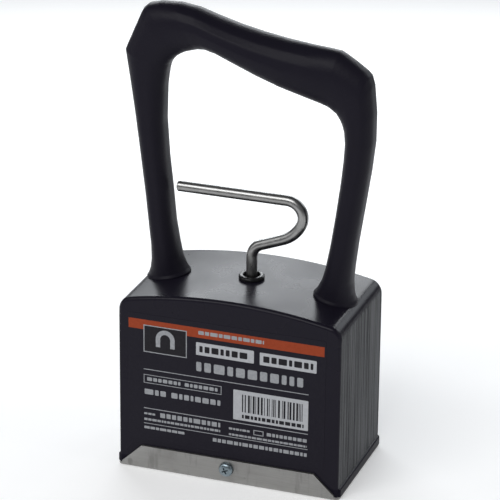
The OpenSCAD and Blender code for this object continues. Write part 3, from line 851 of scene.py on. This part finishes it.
def make_lever(finish):
    """Bent rod: up the shaft, a bend, a short arm, the wide bend, the return bend and the finger bar."""
    arm, lift = math.radians(ARM_ANGLE), math.radians(WIDE_BEND_END)
    arm_way = Vector((math.cos(arm), 0, math.sin(arm)))
    arm_side, lift_side = (Vector((-math.sin(slope), 0, math.cos(slope))) for slope in (arm, lift))
    low_centre = Vector((LOW_BEND_R, 0, SHAFT_TOP)) * MM
    wide_centre = low_centre + (arm_side * (LOW_BEND_R + WIDE_BEND_R) + arm_way * ARM_LEN) * MM
    u_centre = wide_centre - lift_side * (WIDE_BEND_R - U_BEND_R) * MM
    bottom = LEVER_LOW.z
    bpy.ops.object.select_all(action="DESELECT")
    bpy.ops.mesh.primitive_circle_add(
        vertices=40, radius=ROD_R - ROD_CHAMFER * MM, location=(0, 0, bottom), fill_type="NGON")
    rod = added("lever_rod")
    whole(rod)
    bpy.ops.mesh.select_mode(type="FACE")
    extrude((0, 0, ROD_CHAMFER * MM))
    swell = ROD_R / (ROD_R - ROD_CHAMFER * MM)
    resize(swell, swell, 1, (0, 0, bottom))
    extrude((0, 0, SHAFT_TOP * MM - bottom - ROD_CHAMFER * MM))
    sweep(math.pi / 2 - arm, low_centre, (0, 1, 0), BEND_STEPS)
    extrude(arm_way * ARM_LEN * MM)
    sweep(arm - lift, wide_centre, (0, 1, 0), BEND_STEPS)
    sweep(lift - math.pi, u_centre, (0, 1, 0), RETURN_STEPS)
    extrude((-(FINGER_LEN - ROD_CHAMFER) * MM, 0, 0))
    extrude((-ROD_CHAMFER * MM, 0, 0))
    tip = (u_centre.x, 0, u_centre.z + U_BEND_R * MM)
    resize(1, 1 / swell, 1 / swell, tip)
    done()
    close_up(rod)
    smooth(rod, 35)
    dress(rod, finish, "bright_steel", "magnet_carriage", "release_lever")


# Bush in the roof, in millimetres
BUSH_BORE_R = 2.05
BUSH_FLANGE_T = 1.5


def make_bush(finish):
    """Flanged bush in the roof, with a bevelled rim and a recessed mouth round the rod."""
    low, top = BUSH_LOW.z / MM, BUSH_HIGH.z / MM
    roof = top - BUSH_FLANGE_T
    barrel = ((BUSH_BORE_R, low), (3.2, low), (3.45, low + 0.3), (3.45, roof))
    rim = (
        (4.55, roof), (4.7, roof + 0.15), (4.7, top - 0.62), (4.62, top - 0.42), (4.2, top - 0.06),
        (4.05, top),
    )
    mouth = (
        (3.35, top), (3.2, top - 0.06), (3.05, top - 0.25), (3.0, top - 1.2), (2.2, top - 1.25),
        (BUSH_BORE_R, top - 1.4), (BUSH_BORE_R, low),
    )
    bush = turned("collar_bush", barrel + rim + mouth, sides=72, hollow=True)
    smooth(bush, 35)
    dress(bush, finish, "bush_plastic", "body", "guide_bush")


# Stainless channel: the bend along its foot, and the flaps' sloping ends and clipped corners
BEND_R = 1.4 * MM
FLAP_TOP_HALF = 32.8 * MM
SLOPE_START_Z = 0.6 * MM
SLOPE_END_IN = 0.25 * MM
CORNER_CUT = 1.7 * MM
SHEET_ROUND = 0.12 * MM


def make_base_plate(finish):
    """Stainless channel: a sheet with its front and back folded up and the flap ends cut at a slope."""
    half_w, half_d, top = PLATE_HIGH.x, PLATE_HIGH.y, PLATE_HIGH.z
    flat_half = half_d - BEND_R
    bpy.ops.object.select_all(action="DESELECT")
    bpy.ops.mesh.primitive_plane_add(size=1)
    bpy.context.active_object.scale = (2 * half_w, 2 * flat_half, 1)
    plate = added("channel_plate")
    edit(plate)
    for side in (-1, 1):
        pick(plate, "EDGE", lambda at, way: near(at.y, side * flat_half) and near(at.z, 0))
        sweep(side * math.pi / 2, (0, side * flat_half, BEND_R), (1, 0, 0), 6)
        extrude((0, 0, top - BEND_R))
    for side in (-1, 1):
        rise, run = top - SLOPE_START_Z, half_w - SLOPE_END_IN - FLAP_TOP_HALF
        slice_off((side * FLAP_TOP_HALF, 0, top), Vector((side * rise, 0, run)).normalized())
        for end in (-1, 1):
            slice_off((side * (half_w - CORNER_CUT), end * half_d, 0), (side, end, 0))
    bpy.ops.mesh.select_all(action="SELECT")
    bpy.ops.mesh.remove_doubles(threshold=0.001 * MM)
    bpy.ops.mesh.normals_make_consistent(inside=False)
    mesh = bmesh.from_edit_mesh(plate.data)
    floor = next(face for face in mesh.faces if near(face.calc_center_median().z, 0))
    if floor.normal.z > 0:
        bpy.ops.mesh.flip_normals()
    done()
    modify(plate, "SOLIDIFY", thickness=PLATE_T, offset=-1, use_even_offset=True)
    for side in (-1, 1):
        cut(plate, flap_bore(PLATE_SCREW_BORE_R, side, half_d - 2 * OVERLAP, half_d + OVERLAP))
    round_edges(plate, SHEET_ROUND, 40)
    level_shading(plate, 25)
    dress(plate, finish, "stainless_sheet", "body", "base_plate")


# Flap screw: radius and height of its rings from the tip to the crown, in millimetres
SCREW_SHANK = ((0.5, -8.0), (1.2, -7.6), (1.45, -7.0), (1.45, 0))
SCREW_HEAD = (
    (2.5, 0), (2.65, 0.12), (2.65, 0.75), (2.58, 1.05), (2.4, 1.35),
    (2.05, 1.65), (1.55, 1.86), (0.9, 1.97), (0.3, 2.0),
)
# Its cross recess: half the length and half the width of a slot, and the slots' angles in degrees
RECESS_REACH = 1.5 * MM
RECESS_HALF_W = 0.32 * MM
RECESS_FLOOR = 1 * MM
RECESS_TOP = 2.5 * MM
RECESS_ANGLES = (25, 115)
SCREW_ROUND = 0.05 * MM


def make_base_screw(place, side, finish):
    """Pan-head screw with a tapered cross recess, -1 at the front and 1 at the back."""
    screw = turned("flap_screw_" + place, SCREW_SHANK + SCREW_HEAD)
    for angle in RECESS_ANGLES:
        corner = Vector((RECESS_REACH, RECESS_HALF_W, RECESS_TOP))
        slot = add_block("slot", (-corner.x, -corner.y, RECESS_FLOOR), corner)
        edit(slot)
        pick(slot, "FACE", lambda at, way: way.z < -0.9)
        resize(0.55, 0.7, 1, (0, 0, 0))
        bpy.ops.mesh.select_all(action="SELECT")
        turn(math.radians(angle), "Z", (0, 0, 0))
        done()
        cut(screw, slot)
    round_edges(screw, SCREW_ROUND, 45)
    whole(screw)
    turn(-side * math.pi / 2, "X", (0, 0, 0))
    move((0, side * PLATE_HIGH.y, SCREW_Z))
    done()
    level_shading(screw, 35)
    dress(screw, finish, "zinc_steel", "body", "base_screw_" + place)


# Compression spring
WIRE_R = 0.45 * MM
COIL_R = 4 * MM
END_TURN_PITCH = 2 * WIRE_R + 0.12 * MM
WORKING_TURNS = 6
STEPS_PER_TURN = 24


def make_spring(finish):
    """Compression spring with a closed turn at each end."""
    low, high = SPRING_LOW.z, SPRING_HIGH.z
    working_pitch = (high - low - 2 * WIRE_R - 2 * END_TURN_PITCH) / WORKING_TURNS
    bpy.ops.object.select_all(action="DESELECT")
    bpy.ops.mesh.primitive_circle_add(
        vertices=10, radius=WIRE_R, location=(COIL_R, 0, low + WIRE_R), rotation=(math.pi / 2, 0, 0),
        fill_type="NGON")
    spring = added("coil_spring")
    whole(spring)
    for step in range((WORKING_TURNS + 2) * STEPS_PER_TURN):
        in_end_turn = step < STEPS_PER_TURN or step >= (WORKING_TURNS + 1) * STEPS_PER_TURN
        extrude((0, 0, (END_TURN_PITCH if in_end_turn else working_pitch) / STEPS_PER_TURN))
        turn(math.tau / STEPS_PER_TURN, "Z", (0, 0, 0))
    done()
    close_up(spring)
    smooth(spring, 50)
    dress(spring, finish, "spring_steel", "body", "return_spring")
    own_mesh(spring)


# ---------------------------------------------------------------- label

INK_T = 0.012 * MM
FILM_T = 0.07 * MM
FILM_FACE = LABEL_HIGH.y - FILM_T

# Boxes of the label's print: low x, low z, high x and high z, in millimetres
STRIPE = (-37.8, 55.0, 35.8, 58.8)
EMBLEM_BOX = (-32.1, 46.3, -15.6, 56.9)
NAME_BOXES = ((-12.1, 48.3, 9.7, 53.2), (11.9, 48.2, 33.0, 53.0))
RULES = ((-32.1, 39.4, 30.2, 39.7), (-32.1, 24.0, 30.2, 24.3), (-32.1, 18.0, 30.2, 18.25))
CODE_BOX = (-32.1, 34.1, -2.4, 37.5)
BAR_PANEL = (2.1, 25.4, 30.2, 37.1)
SMALL_BOX = (9.8, 20.4, 13.6, 22.4)

# Lines of its print: low x, low z, high x, high z and the longest bar, in millimetres
STRIPE_LINES = ((-11.2, 56.3, 13.4, 57.7, 3.6),)
NAME_LINES = ((-10.8, 49.5, 8.6, 51.9, 3.0), (13.2, 49.4, 31.8, 51.8, 3.2))
TITLE_LINES = ((-12.0, 42.0, 29.4, 45.6, 4.6),)
CODE_LINES = (
    (-30.8, 35.1, -18.0, 36.5, 2.4),
    (-16.4, 35.1, -3.6, 36.5, 2.0),
    (-31.8, 29.7, -23.5, 31.8, 3.4),
    (-21.5, 29.7, -2.8, 31.8, 2.8),
)
PANEL_LINES = ((5.4, 26.3, 28.6, 27.7, 2.0),)
SMALL_LINES = (
    (-32.0, 21.6, -27.4, 22.4, 1.4),
    (-25.8, 21.2, -2.8, 23.0, 2.6),
    (-32.0, 19.3, -2.8, 20.2, 1.8),
    (-32.0, 16.0, -16.4, 17.0, 2.6),
    (0.5, 21.1, 8.4, 21.9, 1.6),
    (14.8, 20.8, 29.9, 22.1, 1.8),
    (0.5, 18.8, 29.9, 19.6, 2.0),
    (-5.6, 15.2, 29.9, 16.6, 2.2),
)

# The panel's upright bars, in millimetres
BARS_START, BARS_END = 5.4, 28.2
BARS_LOW, BARS_HIGH = 28.7, 35.6
BAR_WIDTHS = (0.25, 0.25, 0.45, 0.7)
BAR_GAPS = (0.3, 0.3, 0.55, 0.8)


def ink(name, boxes, finish, layer=0, corner=0.0):
    """One colour of the label's print, from boxes of (low x, low z, high x, high z) in millimetres."""
    back = FILM_FACE - layer * INK_T
    patches = []
    for low_x, low_z, high_x, high_z in boxes:
        patch = add_block(name, (low_x * MM, back - INK_T, low_z * MM), (high_x * MM, back, high_z * MM))
        if corner:
            edit(patch)
            pick(patch, "EDGE", lambda at, way: abs(way.y) > 0.9)
            bpy.ops.mesh.bevel(offset=corner * MM, segments=4, affect="EDGES")
            done()
        patches.append(patch)
    dress(join(patches, name), finish, "label_film", "body")


def print_lines(shapes, lines):
    """Bars of uneven length, like lines of print too small to read."""
    bars = []
    for low_x, low_z, high_x, high_z, longest in lines:
        gap = 0.3 * (high_z - low_z)
        x = low_x
        while high_x - x > gap:
            end = min(x + longest * shapes.uniform(0.35, 1), high_x)
            bars.append((x, low_z, end, high_z))
            x = end + gap
    return bars


def upright_bars(shapes):
    """Upright bars of uneven width side by side, which encode nothing."""
    bars = []
    x = BARS_START
    while x < BARS_END:
        width = shapes.choice(BAR_WIDTHS)
        bars.append((x, BARS_LOW, x + width, BARS_HIGH))
        x += width + shapes.choice(BAR_GAPS)
    return bars


def frame_bars(low_x, low_z, high_x, high_z, width):
    """The four sides of a box drawn as a line of the given width."""
    return [
        (low_x, low_z, high_x, low_z + width),
        (low_x, high_z - width, high_x, high_z),
        (low_x, low_z + width, low_x + width, high_z - width),
        (high_x - width, low_z + width, high_x, high_z - width),
    ]


def make_emblem(finish):
    """Plain horseshoe magnet in the label's framed box: a half ring with two legs."""
    middle_x, middle_z = -23.8 * MM, 51.9 * MM
    outer_r, inner_r = 3.6 * MM, 1.9 * MM
    stub, leg = 0.2 * MM, 3 * MM
    back = FILM_FACE - 2 * INK_T
    ring_z = middle_z + stub
    sign = add_block(
        "label_emblem", (middle_x - outer_r, back - INK_T, middle_z), (middle_x - inner_r, back, ring_z))
    edit(sign)
    pick(sign, "FACE", lambda at, way: way.z > 0.9)
    sweep(math.pi, (middle_x, back, ring_z), (0, 1, 0), 20)
    extrude((0, 0, -stub - leg))
    pick(sign, "FACE", lambda at, way: way.z < -0.9 and at.x < middle_x and near(at.z, middle_z))
    extrude((0, 0, -leg))
    done()
    close_up(sign)
    dress(sign, finish, "label_film", "body")


def make_label(film):
    """Printed film on the front: a stripe, boxes and rules, with bars in place of the print."""
    shapes = random.Random(7)
    sheet = add_block("label_sheet", (LABEL_LOW.x, FILM_FACE, LABEL_LOW.z), LABEL_HIGH)
    edit(sheet)
    pick(sheet, "EDGE", lambda at, way: abs(way.y) > 0.9)
    bpy.ops.mesh.bevel(offset=1 * MM, segments=6, affect="EDGES")
    pick(sheet, "EDGE", lambda at, way: near(at.y, FILM_FACE))
    bpy.ops.mesh.bevel(offset=0.03 * MM, segments=2, affect="EDGES")
    done()
    level_shading(sheet, 30)
    dress(sheet, film, "label_film", "body", "front_label")

    orange = printed("orange_ink", (0.27, 0.043, 0.014), (0.31, 0.051, 0.018), 0.42)
    pale = printed("pale_ink", (0.27, 0.28, 0.30), (0.34, 0.35, 0.37), 0.45)
    panel = printed("panel_ink", (0.40, 0.41, 0.435), (0.46, 0.47, 0.495), 0.45)
    black = printed("black_ink", (0.012, 0.011, 0.014), (0.017, 0.016, 0.02), 0.4)

    ink("label_stripe", [STRIPE], orange)
    ink("label_stripe_print", print_lines(shapes, STRIPE_LINES), pale, layer=1, corner=0.2)
    ink("label_emblem_box", [EMBLEM_BOX], black, layer=1)
    ink("label_emblem_frame", frame_bars(*EMBLEM_BOX, 0.35), pale, layer=2)
    make_emblem(pale)
    ink("label_boxes", NAME_BOXES, panel, corner=0.3)
    ink("label_boxes_print", print_lines(shapes, NAME_LINES), black, layer=1, corner=0.3)
    ink("label_title", print_lines(shapes, TITLE_LINES), pale, corner=0.5)
    ink("label_rules", RULES, pale)
    ink("label_rows", print_lines(shapes, CODE_LINES), pale, corner=0.3)
    ink("label_code_frame", frame_bars(*CODE_BOX, 0.25), pale)
    ink("label_panel", [BAR_PANEL], panel, corner=0.3)
    ink("label_panel_bars", upright_bars(shapes) + print_lines(shapes, PANEL_LINES), black, layer=1)
    ink("label_small_print", print_lines(shapes, SMALL_LINES), pale, corner=0.15)
    ink("label_small_box", frame_bars(*SMALL_BOX, 0.3), pale)


def main():
    make_camera()
    make_studio()
    finishes = cad_finishes()
    make_housing(finishes["black_plastic"])
    make_handle(finishes["handle_plastic"])
    make_lever(finishes["bright_steel"])
    make_bush(finishes["bush_plastic"])
    make_base_plate(finishes["stainless_sheet"])
    make_base_screw("front", -1, finishes["zinc_steel"])
    make_base_screw("rear", 1, finishes["zinc_steel"])
    make_spring(finishes["spring_steel"])
    make_label(finishes["label_film"])


def cad_finishes():
    """The finish of each slot, which the CAD nodes are also given."""
    finishes = {
        "black_plastic": moulded_black(),
        "handle_plastic": handle_black(),
        "bush_plastic": polished_black(),
        "stainless_sheet": brushed_stainless(),
        "zinc_steel": zinc_plated(),
        "bright_steel": drawn_steel(),
        "spring_steel": spring_wire(),
        "mild_steel": rolled_steel(),
        "ferrite": fired_ferrite(),
        "label_film": printed("label_film", (0.0092, 0.0080, 0.0145), (0.0118, 0.0105, 0.0172), 0.3),
    }
    for entry in frame["record"]["subparts"]:
        node = frame["nodes"][entry["node"]]
        node.data.materials.clear()
        node.data.materials.append(finishes[entry["material_slot"]])
    return finishes


main()
